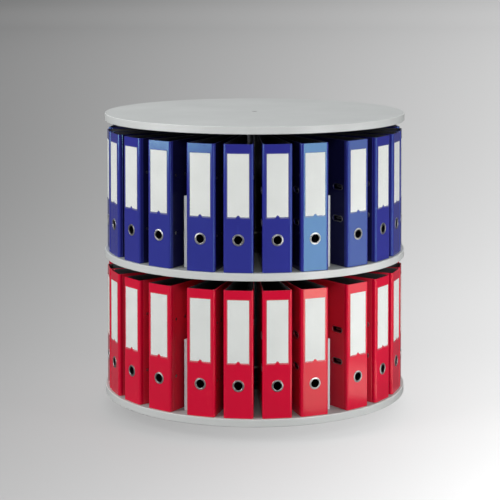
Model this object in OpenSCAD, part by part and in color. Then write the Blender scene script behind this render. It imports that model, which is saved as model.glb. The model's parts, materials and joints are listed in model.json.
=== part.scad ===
// Two-level rotary carousel for lever arch files.
// Each level is a round shelf that turns on its own ball bearing around one fixed column.
// The origin is on the floor, on the column's axis; +Z is up, and the front file of each
// level, the one that slides, points along -Y.

/* [Shelves] */
// Outside diameter of the three round boards
shelf_d = 800; // [780:10:1000]
// Thickness of each board
shelf_t = 19; // [16:1:25]
// Thickness of the edge band
band_t = 2; // [1:0.5:3]
// Rounding of the edge band's two outer corners
band_round = 1.5; // [0.5:0.25:3]
// Free height between a file and the support plate above it
head_room = 7; // [3:1:80]

/* [Files] */
// Height of a file
file_h = 318; // [290:1:400]
// Depth of a file, from spine to fore-edge
file_depth = 285; // [230:1:290]
// Width across the spine
spine_w = 75; // [60:1:90]
// Width across the fore-edge of a closed, empty file
fore_edge_w = 22; // [18:1:25]
// Thickness of the covered board
board_t = 2.4; // [1.8:0.1:3]
// Distance from the shelf's rim to the spine's face
rim_inset = 8; // [4:1:20]
// Width of the spine label
label_w = 58; // [40:1:60]
// Height of the spine label
label_h = 156; // [120:1:190]
// Distance from the top of the file to the label
label_drop = 24; // [15:1:40]
// Diameter of the opening in the finger ring
finger_d = 21; // [18:1:24]
// Height of the finger ring's centre
finger_z = 81; // [60:1:95]

/* [Layout] */
// Files in each bay
files_per_bay = 4; // [3:1:4]
// Extra angle left for a divider between two bays, in degrees
divider_room = 3.2; // [2.6:0.1:5]
// Height of a divider
divider_h = 180; // [120:1:250]
// Thickness of a divider
divider_t = 10; // [6:1:12]
// Distance from the rim to a divider's outer end
divider_inset = 42; // [20:1:90]

/* [Stand] */
// Diameter of the base plate
base_d = 520; // [440:10:640]
// Thickness of the base plate
base_t = 19; // [16:1:25]
// Height of a foot pad
foot_h = 10; // [8:1:20]
// Diameter of a foot pad
foot_d = 40; // [30:1:60]
// Diameter of the column
column_d = 60; // [48:1:76]
// Wall of the column
column_wall = 3; // [2:0.5:4]

/* [Bearings] */
// Diameter of a ball
ball_d = 8; // [6:0.5:10]
// Balls in each bearing
balls = 24; // [12:1:36]
// Thickness of a bearing ring
ring_t = 5; // [4:0.5:8]
// Inside radius of a bearing ring
ring_in_r = 90; // [88:1:110]
// Radial width of a bearing ring
ring_w = 35; // [30:1:45]

/* [Hidden] */
$fn = 96;

// Gaps: glued or pressed seats, running seats, and loose clearance holes
seat_gap = 0.05;
running_gap = 0.05;
groove_gap = 0.15;  // between a ball and its groove
hole_gap = 0.1;
foot_gap = 0.1;    // under each file
hinge_gap = 0.5;   // between a spine and its covers
cut = 1;           // how far a cutting tool runs past a face

// Bearing: two rings with a ball between them in shallow grooves
ring_space = 3;
bearing_h = 2 * ring_t + ring_space;
ring_out_r = ring_in_r + ring_w;
ball_circle_r = ring_in_r + ring_w / 2;
cage_t = 1.6;
cage_margin = 6;
ring_screw_r = ring_out_r - 6;

// Heights of the decks and of the top board's underside
bearing_z = foot_h + base_t;
support_t = 5;       // plates of the column flange, the support collar and the top flange
level_clear = file_h + head_room + support_t + bearing_h;
level_pitch = level_clear + shelf_t;
deck_z = [for (level = [0, 1]) bearing_z + bearing_h + shelf_t + level * level_pitch];
top_z = deck_z[1] + level_clear;

// Files: where their spines and fore-edges stand
spine_r = shelf_d / 2 - rim_inset;
fore_r = spine_r - file_depth;
cover_y = -spine_r + board_t + hinge_gap;
cover_run = file_depth - board_t - hinge_gap;
taper = atan((spine_w - fore_edge_w) / 2 / cover_run);
cover_len = cover_run / cos(taper);
bays = 6;                           // one node of files for each
bay_angle = 360 / bays;
file_step = (bay_angle - divider_room) / files_per_bay;
slide_bay = 0;
slide_place = 2;                    // the sliding file points along -Y
bay_turn = ((files_per_bay - 1) / 2 - slide_place) * file_step;

// In the bays on both sides of the sliding file's, the files stand off their even places
// by these shares of the room that one file has to spare
file_room = file_step - 2 * max(atan(spine_w / 2 / spine_r), atan(fore_edge_w / 2 / fore_r));
stray_right = [0.7, 1.2, 1.1, 0.25];
stray_left = [-0.25, -1.15, -0.6, -0.1];

// Hub and bush of each level
bush_t = 3;
hub_wall = 11;
hub_flange_t = 6;
hub_boss_h = 40;
bush_lip_t = 3;
column_r = column_d / 2;
bush_in_r = column_r + running_gap;
bush_out_r = bush_in_r + bush_t;
hub_boss_r = bush_out_r + hub_wall;
hub_flange_r = fore_r - 0.5;        // a file pushed home stops against it
hub_screw_r = hub_boss_r + 28;
hub_screws = 6;

// Dividers stand between the bays, clear of the files on both sides
divider_in_r = fore_r + 38;
divider_out_r = shelf_d / 2 - divider_inset;
divider_screw_r = [divider_in_r + 45, divider_out_r - 45];

// Column flange, support collar and top flange
flange_r = ring_in_r - 5;
flange_bolt_r = (flange_r + column_r) / 2 + 4;
flange_bolts_n = 4;
spigot_gap = 0.1;
spigot_r = column_r - column_wall - spigot_gap;
bottom_spigot_h = 15;
collar_wall = 8;
collar_h = 45;
collar_z = deck_z[1] - shelf_t - bearing_h;   // top face of the collar's plate
collar_bolt_z = collar_z - support_t - collar_h / 2;
collar_r = column_r + collar_wall;
column_z = bearing_z + support_t;
column_h = top_z - support_t - column_z;
top_flange_r = 100;
top_spigot_h = 30;
top_screw_r = top_flange_r - 18;
top_screws = 6;

// Fasteners
screw_d = 4;
screw_head_d = 8;
screw_head_h = 2.6;
bolt_d = 8;
bolt_hole_d = bolt_d + 4 * hole_gap;
bolt_af = 13;
bolt_head_h = 5.3;
bolt_end = 1;        // what shows of a bolt beyond its nut
nut_h = 6.5;
nut_pocket_d = 22;
nut_pocket_h = 9;
centre_head_d = 14;
centre_head_h = 4;
centre_screw_len = 45;
ring_screws = 6;
wood_bite = 14;      // how deep a short screw goes into a board
divider_bite = 25;   // how deep a long screw goes into a divider
feet = 6;
foot_r = base_d / 2 - foot_d;
foot_pocket_d = 12;
foot_pocket_h = 4;

// Lever arch mechanism, seen from the cover it is riveted to
plate_t = 1.2;
plate_w = 56;
plate_h = 160;
plate_y = 14;                 // from the hinge to the plate
arch_gap = 80;                // between the two arches
arch_r = 22;
arch_y = 37;                  // from the hinge to the middle of an arch
arch_d = 3;
arch_play = 0.2;
slot_len = 36;
slot_w = 12;
slot_rim = 3;
trim_t = 0.6;
rivet_d = 4;
rivet_hole_d = rivet_d + 2 * seat_gap;
rivet_head_d = 8;
rivet_inset = 8;
lever_t = 2;
lever_w = 12;
lever_rise = 14;
lever_len = 105;
ear_w = 12;
grip_d = 24;
grip_rim = 4;
clamp_t = 3;
clamp_w = 14;
clamp_rise = 26;
label_t = 0.4;
notch_d = 10;
finger_flange = 4.5;
finger_tube_t = 1.4;

BLUE = [0.21, 0.24, 0.56];
RED = [0.78, 0.06, 0.2];
BOARD_GREY = [0.73, 0.75, 0.74];
BAND_GREY = [0.82, 0.83, 0.81];
STEEL = [0.7, 0.71, 0.73];

// ---------- placing ----------

// Angle 0 is -Y; angles grow towards +X.
module around(angle, r = 0) rotate(angle) translate([0, -r, 0]) children();

module ring_of(n, r, start = 0) for (i = [0:n - 1]) around(start + i * 360 / n, r) children();

module on_deck(level) translate([0, 0, deck_z[level]]) children();

function is_slider(bay, place) = bay == slide_bay && place == slide_place;

function stray(bay, place) =
    files_per_bay != len(stray_right) ? 0
    : bay == slide_bay + 1 ? stray_right[place] * file_room
    : bay == slide_bay + bays - 1 ? stray_left[place] * file_room
    : 0;

function file_turn(bay, place) =
    bay * bay_angle + (place - slide_place) * file_step + stray(bay, place);

module each_file_of_bay(bay)
    for (place = [0:files_per_bay - 1])
        if (!is_slider(bay, place))
            around(file_turn(bay, place)) children();

module each_file() for (bay = [0:bays - 1]) each_file_of_bay(bay) children();

module at_dividers()
    for (bay = [0:bays - 1])
        around((bay + 0.5) * bay_angle + bay_turn) children();

// ---------- shared shapes ----------

module tube(r_out, r_in, h)
    difference() {
        cylinder(r = r_out, h = h);
        translate([0, 0, -cut]) cylinder(r = r_in, h = h + 2 * cut);
    }

// Countersunk screw pointing up, its head's face at z = 0
module screw(len, grow = 0, d = screw_d, head_d = screw_head_d, head_h = screw_head_h)
    rotate_extrude()
        polygon([
            [0, 0], [head_d / 2 + grow, 0], [d / 2 + grow, head_h],
            [d / 2 + grow, len + grow], [0, len + grow],
        ]);

// The hole for a screw also opens the face that it enters
module screw_hole(len) {
    screw(len, hole_gap);
    translate([0, 0, -cut]) cylinder(r = screw_head_d / 2 + hole_gap, h = cut);
}

// A hexagon given by the distance across its flats
module hex_prism(af, h) cylinder(r = af / 2 / cos(30), h = h, $fn = 6);

module nut()
    difference() {
        hex_prism(bolt_af, nut_h);
        translate([0, 0, -cut]) cylinder(d = bolt_d + 2 * seat_gap, h = nut_h + 2 * cut);
    }

// A round-ended slot, long side along y, pushed along +x
module slot_x(len, w, t)
    rotate([90, 0, 90])
        linear_extrude(t) {
            square([len - w, w], center = true);
            for (side = [-1, 1]) translate([side * (len - w) / 2, 0]) circle(d = w);
        }

// Edge band: a flat strip bent round a board, with its two outer corners rounded
module edge_band()
    rotate_extrude() {
        r = shelf_d / 2;
        translate([r - band_t, 0]) square([band_t - band_round, shelf_t]);
        translate([r - band_round, band_round]) square([band_round, shelf_t - 2 * band_round]);
        for (z = [band_round, shelf_t - band_round])
            translate([r - band_round, z])
                intersection() {
                    circle(r = band_round);
                    translate([0, -band_round]) square([band_round, 2 * band_round]);
                }
    }

// ---------- bearings ----------

// A ring lying on z = 0 with its ball groove in the upper face
module bearing_ring()
    difference() {
        rotate_extrude()
            difference() {
                translate([ring_in_r, 0]) square([ring_w, ring_t]);
                translate([ball_circle_r, ring_t + ring_space / 2])
                    circle(r = ball_d / 2 + groove_gap);
            }
        ring_screw_places() translate([0, 0, ring_t]) mirror([0, 0, 1]) screw_hole(ring_t + cut);
    }

module ring_screw_places() ring_of(ring_screws, ring_screw_r, 30) children();

module bottom_ring(z) color("darkgray") translate([0, 0, z]) bearing_ring();

// The cage of a bearing that stands on height z
module bearing_cage(z)
    color("goldenrod")
        translate([0, 0, z + bearing_h / 2])
            difference() {
                translate([0, 0, -cage_t / 2])
                    tube(ring_out_r - cage_margin, ring_in_r + cage_margin, cage_t);
                ring_of(balls, ball_circle_r)
                    cylinder(d = ball_d + 2 * hole_gap, h = 3 * cage_t, center = true);
            }

module bearing_balls(z)
    color(STEEL)
        translate([0, 0, z + bearing_h / 2])
            ring_of(balls, ball_circle_r) sphere(d = ball_d);

// ---------- stand ----------

module foot_places() ring_of(feet, foot_r, 30) children();

module flange_bolt_places() ring_of(flange_bolts_n, flange_bolt_r, 45) children();

module foot_pads()
    color("dimgray")
        foot_places()
            difference() {
                cylinder(d = foot_d, h = foot_h);
                translate([0, 0, -cut]) cylinder(d = foot_pocket_d, h = foot_pocket_h + cut);
                cylinder(d = screw_d + 2 * hole_gap, h = foot_h + cut);
                translate([0, 0, foot_pocket_h]) screw_hole(foot_h);
            }

foot_screw_len = foot_h - foot_pocket_h + wood_bite;
ring_screw_len = ring_t + wood_bite;

module foot_screw_places() foot_places() translate([0, 0, foot_pocket_h]) children();

module base_ring_screw_places()
    translate([0, 0, bearing_z + ring_t]) mirror([0, 0, 1]) ring_screw_places() children();

module base_plate()
    color(BOARD_GREY)
        difference() {
            translate([0, 0, foot_h]) cylinder(d = base_d, h = base_t);
            flange_bolt_places() {
                cylinder(d = bolt_hole_d, h = bearing_z + cut);
                translate([0, 0, foot_h - cut]) cylinder(d = nut_pocket_d, h = nut_pocket_h + cut);
            }
            foot_screw_places() screw_hole(foot_screw_len);
            base_ring_screw_places() screw_hole(ring_screw_len);
        }

module base_screws()
    color(STEEL) {
        foot_screw_places() screw(foot_screw_len);
        base_ring_screw_places() screw(ring_screw_len);
    }

module column_flange()
    color("darkgray")
        translate([0, 0, bearing_z])
            difference() {
                union() {
                    cylinder(r = flange_r, h = support_t);
                    cylinder(r = spigot_r, h = support_t + bottom_spigot_h);
                }
                flange_bolt_places()
                    translate([0, 0, -cut]) cylinder(d = bolt_hole_d, h = support_t + 2 * cut);
            }

module flange_bolts()
    color(STEEL)
        flange_bolt_places() {
            head_z = bearing_z + support_t;
            nut_z = foot_h + nut_pocket_h - nut_h;
            translate([0, 0, head_z]) hex_prism(bolt_af, bolt_head_h);
            translate([0, 0, nut_z - bolt_end]) cylinder(d = bolt_d, h = head_z - nut_z + bolt_end);
            translate([0, 0, nut_z]) nut();
        }

module column_tube()
    color(STEEL)
        difference() {
            translate([0, 0, column_z]) tube(column_r, column_r - column_wall, column_h);
            collar_bolt_hole();
        }

module collar_bolt_hole()
    translate([0, 0, collar_bolt_z])
        rotate([0, 90, 0]) cylinder(d = bolt_hole_d, h = 2 * ring_out_r, center = true);

module support_collar()
    color("darkgray")
        difference() {
            union() {
                translate([0, 0, collar_z - support_t]) cylinder(r = ring_out_r, h = support_t);
                translate([0, 0, collar_z - support_t - collar_h]) cylinder(r = collar_r, h = collar_h);
            }
            translate([0, 0, collar_z - support_t - collar_h - cut])
                cylinder(r = column_r + spigot_gap, h = collar_h + support_t + 2 * cut);
            collar_bolt_hole();
            collar_ring_screw_places() screw_hole(2 * ring_t);
        }

module collar_bolt()
    color(STEEL)
        translate([0, 0, collar_bolt_z])
            rotate([0, 90, 0]) {
                reach = collar_r + hole_gap;
                translate([0, 0, -reach - nut_h - bolt_end])
                    cylinder(d = bolt_d, h = 2 * reach + nut_h + bolt_end);
                translate([0, 0, reach]) hex_prism(bolt_af, bolt_head_h);
                translate([0, 0, -reach - nut_h]) nut();
            }

module collar_ring_screw_places()
    translate([0, 0, collar_z + ring_t]) mirror([0, 0, 1]) ring_screw_places() children();

module collar_ring_screws() color(STEEL) collar_ring_screw_places() screw(ring_t + support_t);

module top_screw_places()
    translate([0, 0, top_z - support_t]) ring_of(top_screws, top_screw_r, 30) children();

module centre_screw(grow = 0)
    color(STEEL)
        translate([0, 0, top_z + shelf_t])
            mirror([0, 0, 1])
                screw(centre_screw_len, grow, bolt_d, centre_head_d, centre_head_h);

module top_flange()
    color("darkgray")
        difference() {
            union() {
                translate([0, 0, top_z - support_t]) cylinder(r = top_flange_r, h = support_t);
                translate([0, 0, top_z - support_t - top_spigot_h])
                    cylinder(r = spigot_r, h = top_spigot_h + support_t);
            }
            translate([0, 0, top_z - support_t - top_spigot_h - cut])
                cylinder(d = bolt_d + 2 * seat_gap, h = top_spigot_h + support_t + 2 * cut);
            top_screw_places() screw_hole(support_t + wood_bite);
        }

module top_flange_screws() color(STEEL) top_screw_places() screw(support_t + wood_bite);

module board_disc() cylinder(r = shelf_d / 2 - band_t - seat_gap, h = shelf_t);

module top_board()
    color(BOARD_GREY)
        difference() {
            translate([0, 0, top_z]) board_disc();
            centre_screw(hole_gap);
            translate([0, 0, top_z + shelf_t]) cylinder(d = centre_head_d + 2 * hole_gap, h = cut);
            top_screw_places() screw_hole(support_t + wood_bite);
        }

module top_edge_band() color(BAND_GREY) translate([0, 0, top_z]) edge_band();

// ---------- turning levels, drawn with the deck's face at z = 0 ----------

module hub_screw_places()
    ring_of(hub_screws, hub_screw_r) translate([0, 0, hub_flange_t]) mirror([0, 0, 1]) children();

module shelf_ring_screw_places()
    translate([0, 0, -shelf_t - ring_t]) ring_screw_places() children();

module divider_screw_places()
    at_dividers() for (r = divider_screw_r) translate([0, -r, -shelf_t]) children();

hub_screw_len = hub_flange_t + wood_bite;
divider_screw_len = shelf_t + divider_bite;

module shelf_board()
    color(BOARD_GREY)
        difference() {
            translate([0, 0, -shelf_t]) board_disc();
            translate([0, 0, -shelf_t - cut]) cylinder(r = hub_boss_r + hole_gap, h = shelf_t + 2 * cut);
            hub_screw_places() screw_hole(hub_screw_len);
            shelf_ring_screw_places() screw_hole(ring_screw_len);
            divider_screw_places() screw_hole(divider_screw_len);
        }

module shelf_band() color(BAND_GREY) translate([0, 0, -shelf_t]) edge_band();

module shelf_ring() color("darkgray") translate([0, 0, -shelf_t]) mirror([0, 0, 1]) bearing_ring();

module hub()
    color("gray")
        difference() {
            union() {
                cylinder(r = hub_flange_r, h = hub_flange_t);
                translate([0, 0, -shelf_t]) cylinder(r = hub_boss_r, h = shelf_t + hub_boss_h);
            }
            translate([0, 0, -shelf_t - cut])
                cylinder(r = bush_out_r + seat_gap, h = shelf_t + hub_boss_h + 2 * cut);
            hub_screw_places() screw_hole(hub_screw_len);
        }

module bush()
    color("ivory")
        difference() {
            union() {
                translate([0, 0, -shelf_t]) cylinder(r = bush_out_r, h = shelf_t + hub_boss_h + bush_lip_t);
                translate([0, 0, hub_boss_h]) cylinder(r = hub_boss_r, h = bush_lip_t);
            }
            translate([0, 0, -shelf_t - cut])
                cylinder(r = bush_in_r, h = shelf_t + hub_boss_h + bush_lip_t + 2 * cut);
        }

module dividers()
    color(BAND_GREY)
        difference() {
            at_dividers()
                translate([-divider_t / 2, -divider_out_r, 0])
                    cube([divider_t, divider_out_r - divider_in_r, divider_h]);
            divider_screw_places() screw_hole(divider_screw_len);
        }

module shelf_screws()
    color(STEEL) {
        hub_screw_places() screw(hub_screw_len);
        shelf_ring_screw_places() screw(ring_screw_len);
        divider_screw_places() screw(divider_screw_len);
    }

// ---------- one file, pointing along -Y and standing on z = 0 ----------

// Frame of the front cover: x runs inwards from its outer face, y runs from the hinge
module front_cover_frame() translate([-spine_w / 2, cover_y, 0]) rotate(-taper) children();

module back_cover_frame() mirror([1, 0, 0]) front_cover_frame() children();

// Inward distance from the back cover's outer face to the front cover's, at depth y
function cover_space(y) = (spine_w - 2 * y * sin(taper)) * cos(taper) / cos(2 * taper);

arch_top = cover_space(arch_y) - 2;
arch_foot = board_t + plate_t;
arch_leg = arch_top - arch_d / 2 - arch_r - arch_foot;

module at_arches() for (side = [-1, 1]) translate([0, 0, file_h / 2 + side * arch_gap / 2]) children();

module at_rivets()
    for (side = [-1, 1], y = [plate_y + rivet_inset, plate_y + plate_w - rivet_inset])
        translate([0, y, file_h / 2 + side * (plate_h / 2 - rivet_inset)])
            rotate([0, 90, 0]) children();

module spine_board()
    difference() {
        translate([-spine_w / 2, -spine_r, 0]) cube([spine_w, board_t, file_h]);
        finger_place()
            translate([0, 0, -cut])
                cylinder(r = finger_d / 2 + finger_tube_t + seat_gap, h = board_t + 2 * cut);
    }

module finger_place() translate([0, -spine_r, finger_z]) rotate([-90, 0, 0]) children();

module cover_board() cube([board_t, cover_len, file_h]);

module file_case()
    translate([0, 0, foot_gap]) {
        spine_board();
        front_cover_frame()
            difference() {
                cover_board();
                at_arches() translate([-cut, arch_y, 0]) slot_x(slot_len, slot_w, board_t + 2 * cut);
            }
        back_cover_frame()
            difference() {
                cover_board();
                at_rivets() translate([0, 0, -cut]) cylinder(d = rivet_hole_d, h = board_t + 2 * cut);
            }
    }

// A card with a thumb notch at its foot
module file_label()
    translate([0, -spine_r, foot_gap + file_h - label_drop - label_h])
        rotate([90, 0, 0])
            linear_extrude(label_t)
                difference() {
                    translate([-label_w / 2, 0]) square([label_w, label_h]);
                    circle(d = notch_d);
                }

// Finger ring, slot eyelets and rivets
module file_fittings()
    color(STEEL)
        translate([0, 0, foot_gap]) {
            finger_ring();
            front_cover_frame()
                at_arches()
                    translate([-trim_t, arch_y, 0])
                        difference() {
                            slot_x(slot_len + 2 * slot_rim, slot_w + 2 * slot_rim, trim_t);
                            translate([-cut, 0, 0]) slot_x(slot_len, slot_w, trim_t + 2 * cut);
                        }
            back_cover_frame()
                at_rivets() {
                    translate([0, 0, -trim_t]) cylinder(d = rivet_head_d, h = trim_t);
                    cylinder(d = rivet_d, h = board_t + plate_t);
                    translate([0, 0, board_t + plate_t]) cylinder(d = 1.5 * rivet_d, h = trim_t);
                }
        }

module finger_ring()
    finger_place()
        rotate_extrude()
            translate([finger_d / 2, 0]) {
                translate([0, -2 * trim_t]) square([finger_flange, 2 * trim_t]);
                translate([0, -trim_t]) square([finger_tube_t, board_t + 2 * trim_t]);
                translate([0, board_t]) square([finger_flange - 1, trim_t]);
            }

// Base plate, two posts, two arches, the lever and the sheet clamp
module lever_arch()
    color(STEEL)
        translate([0, 0, foot_gap])
            back_cover_frame() {
                mechanism_plate();
                at_arches() {
                    fixed_post();
                    moving_arch();
                }
                lever();
                sheet_clamp();
            }

module mechanism_plate()
    difference() {
        translate([board_t, plate_y, (file_h - plate_h) / 2]) cube([plate_t, plate_w, plate_h]);
        at_rivets() cylinder(d = rivet_hole_d, h = 3 * board_t);
    }

module fixed_post()
    translate([arch_foot, arch_y + arch_r, 0])
        rotate([0, 90, 0]) cylinder(d = arch_d, h = arch_leg - arch_play);

module moving_arch() {
    translate([arch_foot + arch_leg, arch_y, 0])
        rotate([0, 0, -90]) rotate_extrude(angle = 180) translate([arch_r, 0]) circle(d = arch_d);
    translate([arch_foot, arch_y - arch_r, 0]) rotate([0, 90, 0]) cylinder(d = arch_d, h = arch_leg);
}

// The lever turns between two ears on the plate and ends in a round grip
module lever()
    translate([arch_foot, arch_y, file_h / 2]) {
        for (side = [-1, 1])
            translate([0, side * (lever_w + lever_t + 2 * seat_gap) / 2 - lever_t / 2, -ear_w / 2])
                cube([lever_rise + 2 * lever_t, lever_t, ear_w]);
        translate([lever_rise, -lever_w / 2, -lever_len])
            cube([lever_t, lever_w, lever_len + ear_w / 2]);
        translate([lever_rise, 0, -lever_len - grip_d / 2 + lever_t])
            rotate([0, 90, 0]) tube(grip_d / 2, grip_d / 2 - grip_rim, lever_t);
    }

module sheet_clamp()
    translate([arch_foot + clamp_rise, arch_y + arch_r, file_h / 2])
        difference() {
            translate([0, -clamp_w / 2, -plate_h / 2]) cube([clamp_t, clamp_w, plate_h]);
            for (side = [-1, 1])
                translate([-cut, 0, side * arch_gap / 2])
                    rotate([0, 90, 0]) cylinder(d = arch_d + 4 * hole_gap, h = clamp_t + 2 * cut);
        }

// ---------- nodes ----------

module bay_of_files(level, paint, bay) color(paint) on_deck(level) each_file_of_bay(bay) file_case();

module labels(level) color("white") on_deck(level) each_file() file_label();

foot_pads();
base_plate();
base_screws();
column_flange();
column_tube();
flange_bolts();
bottom_ring(bearing_z);  // lower_bearing_bottom_ring
support_collar();
collar_bolt();
bottom_ring(collar_z);  // upper_bearing_bottom_ring
collar_ring_screws();
top_flange();
top_flange_screws();
top_board();
top_edge_band();
centre_screw();

bearing_cage(bearing_z);  // lower_bearing_cage
bearing_balls(bearing_z);  // lower_bearing_balls
bearing_cage(collar_z);  // upper_bearing_cage
bearing_balls(collar_z);  // upper_bearing_balls

on_deck(0) shelf_board();  // bottom_shelf
on_deck(0) shelf_band();  // bottom_edge_band
on_deck(0) shelf_ring();  // lower_bearing_top_ring
on_deck(0) hub();  // lower_hub
on_deck(0) bush();  // lower_bush
on_deck(0) dividers();  // lower_dividers
on_deck(0) shelf_screws();  // bottom_shelf_screws

on_deck(1) shelf_board();  // middle_shelf
on_deck(1) shelf_band();  // middle_edge_band
on_deck(1) shelf_ring();  // upper_bearing_top_ring
on_deck(1) hub();  // upper_hub
on_deck(1) bush();  // upper_bush
on_deck(1) dividers();  // upper_dividers
on_deck(1) shelf_screws();  // middle_shelf_screws

bay_of_files(0, RED, 0);  // red_files_bay_1
bay_of_files(0, RED, 1);  // red_files_bay_2
bay_of_files(0, RED, 2);  // red_files_bay_3
bay_of_files(0, RED, 3);  // red_files_bay_4
bay_of_files(0, RED, 4);  // red_files_bay_5
bay_of_files(0, RED, 5);  // red_files_bay_6
labels(0);  // red_labels
on_deck(0) each_file() file_fittings();  // red_fittings
on_deck(0) each_file() lever_arch();  // red_lever_arches

bay_of_files(1, BLUE, 0);  // blue_files_bay_1
bay_of_files(1, BLUE, 1);  // blue_files_bay_2
bay_of_files(1, BLUE, 2);  // blue_files_bay_3
bay_of_files(1, BLUE, 3);  // blue_files_bay_4
bay_of_files(1, BLUE, 4);  // blue_files_bay_5
bay_of_files(1, BLUE, 5);  // blue_files_bay_6
labels(1);  // blue_labels
on_deck(1) each_file() file_fittings();  // blue_fittings
on_deck(1) each_file() lever_arch();  // blue_lever_arches

color(RED) on_deck(0) file_case();  // red_sliding_file
color("white") on_deck(0) file_label();  // red_sliding_label
on_deck(0) file_fittings();  // red_sliding_fittings
on_deck(0) lever_arch();  // red_sliding_lever_arch
color(BLUE) on_deck(1) file_case();  // blue_sliding_file
color("white") on_deck(1) file_label();  // blue_sliding_label
on_deck(1) file_fittings();  // blue_sliding_fittings
on_deck(1) lever_arch();  // blue_sliding_lever_arch
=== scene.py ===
"""Looks of the two-level rotary carousel for lever arch files, made round its CAD frame.

Everything is in metres, with +Z up and the sliding file of each level pointing along -Y.
"""

import json
from math import atan, cos, pi, radians, sin

import bmesh
import bpy
from mathutils import Matrix, Vector


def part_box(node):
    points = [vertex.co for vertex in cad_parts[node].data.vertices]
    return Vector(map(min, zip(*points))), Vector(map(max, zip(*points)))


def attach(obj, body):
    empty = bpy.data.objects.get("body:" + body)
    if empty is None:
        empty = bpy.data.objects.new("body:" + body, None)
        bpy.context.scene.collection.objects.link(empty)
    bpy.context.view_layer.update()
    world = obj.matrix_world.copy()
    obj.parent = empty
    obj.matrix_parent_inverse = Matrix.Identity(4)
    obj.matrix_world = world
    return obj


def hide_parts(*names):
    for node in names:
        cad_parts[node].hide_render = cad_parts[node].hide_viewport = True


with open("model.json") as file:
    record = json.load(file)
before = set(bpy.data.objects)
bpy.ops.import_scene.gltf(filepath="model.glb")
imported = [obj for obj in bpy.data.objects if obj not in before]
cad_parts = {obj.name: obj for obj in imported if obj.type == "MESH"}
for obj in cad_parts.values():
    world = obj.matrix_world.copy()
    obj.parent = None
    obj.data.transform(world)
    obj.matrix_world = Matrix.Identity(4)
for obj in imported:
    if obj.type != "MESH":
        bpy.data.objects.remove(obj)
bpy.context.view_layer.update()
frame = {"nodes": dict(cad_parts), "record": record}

MM = 0.001
scene = bpy.context.scene

# ---------- sizes, from the CAD frame ----------

top_low, top_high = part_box("top_edge_band")
RIM_R = min(top_high.x, top_high.y, -top_low.x, -top_low.y) - 0.001 * MM
BOARD_T = top_high.z - top_low.z
BAND_T = 2 * MM
BAND_ROUND = 1.5 * MM
SEAM = 0.12 * MM

file_low, file_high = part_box("blue_sliding_file")
SPINE_W = file_high.x - file_low.x
SPINE_Y = file_low.y
FILE_DEPTH = file_high.y - file_low.y
FILE_H = file_high.z - file_low.z
FOOT_GAP = file_low.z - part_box("middle_shelf")[1].z

COLOURS = ("red", "blue")
DECK = {"red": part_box("bottom_shelf")[1].z, "blue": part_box("middle_shelf")[1].z}
TIER = {"red": "lower_tier", "blue": "upper_tier"}
SLIDER = {"red": "red_pull_file", "blue": "blue_pull_file"}
SHELF = {"red": "bottom", "blue": "middle"}

BAYS = 6
PLACES = 4
SLIDE_BAY = 0
SLIDE_PLACE = 2
BAY_ANGLE = 360 / BAYS
FILE_STEP = 14.2
FILE_ROOM = 2.461  # free angle between neighbouring files, in degrees
# How far the files beside the front bay lean away from even places, as shares of FILE_ROOM
STRAY = {1: (0.7, 1.2, 1.1, 0.25), BAYS - 1: (-0.25, -1.15, -0.6, -0.1)}
BAY_MIDDLE = (1.5 - SLIDE_PLACE) * FILE_STEP

DIVIDER_T = 10 * MM
DIVIDER_OUTER_INSET = 42 * MM
DIVIDER_INNER_INSET = 38 * MM

FORE_EDGE_W = 22 * MM
FORE_EDGE_R = -file_high.y
COVER_T = 2.4 * MM
COVER_START = 2.9 * MM
SPINE_ROUND = 6 * MM
TAPER = atan((SPINE_W - FORE_EDGE_W) / 2 / (FILE_DEPTH - COVER_START))
FINGER_Z = 81 * MM
FINGER_R = 10.5 * MM
LABEL_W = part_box("blue_sliding_label")[1].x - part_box("blue_sliding_label")[0].x
LABEL_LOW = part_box("blue_sliding_label")[0].z - file_low.z
LABEL_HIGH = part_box("blue_sliding_label")[1].z - file_low.z
CARD_INSET = 2.6 * MM
ARCH_GAP = 80 * MM
ARCH_Y = 37 * MM
SLOT_LEN = 36 * MM
SLOT_W = 12 * MM
PLATE_W = 56 * MM
PLATE_H = 160 * MM
PLATE_Y = 14 * MM
PLATE_T = 1.2 * MM
RIVET_INSET = 8 * MM
HUB_HOLE_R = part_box("lower_bush")[1].x + 5.1 * MM


# ---------- bmesh helpers ----------

def turned(angle):
    """A turn about the column, in degrees."""
    return Matrix.Rotation(radians(angle), 4, "Z")


def moved(x, y, z):
    return Matrix.Translation((x, y, z))


def add_loop(bm, points):
    """A closed loop of edges through flat points."""
    verts = [bm.verts.new((x, y, 0)) for x, y in points]
    return [bm.edges.new((a, b)) for a, b in zip(verts, verts[1:] + verts[:1])]


def arc(cx, cy, r, start, end, steps):
    """Points of an arc, in degrees, both ends included."""
    angles = [radians(start + (end - start) * i / steps) for i in range(steps + 1)]
    return [(cx + r * cos(a), cy + r * sin(a)) for a in angles]


def circle(r, steps=32, cx=0.0, cy=0.0):
    """Points of a full circle, the first not repeated."""
    return arc(cx, cy, r, 0, 360 * (steps - 1) / steps, steps - 1)


def rounded_rectangle(x0, y0, x1, y1, r, steps=5):
    return (arc(x1 - r, y1 - r, r, 0, 90, steps) + arc(x0 + r, y1 - r, r, 90, 180, steps)
            + arc(x0 + r, y0 + r, r, 180, 270, steps) + arc(x1 - r, y0 + r, r, 270, 360, steps))


def slot_outline(cx, cy, length, width, steps=8):
    """A round-ended slot lying along x."""
    r = width / 2
    half = length / 2 - r
    return arc(cx + half, cy, r, -90, 90, steps) + arc(cx - half, cy, r, 90, 270, steps)


def rim_edges(bm, angle=50):
    """Edges where two faces meet more sharply than angle."""
    limit = radians(angle)
    return [e for e in bm.edges if len(e.link_faces) == 2 and e.calc_face_angle(0) > limit]


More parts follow.
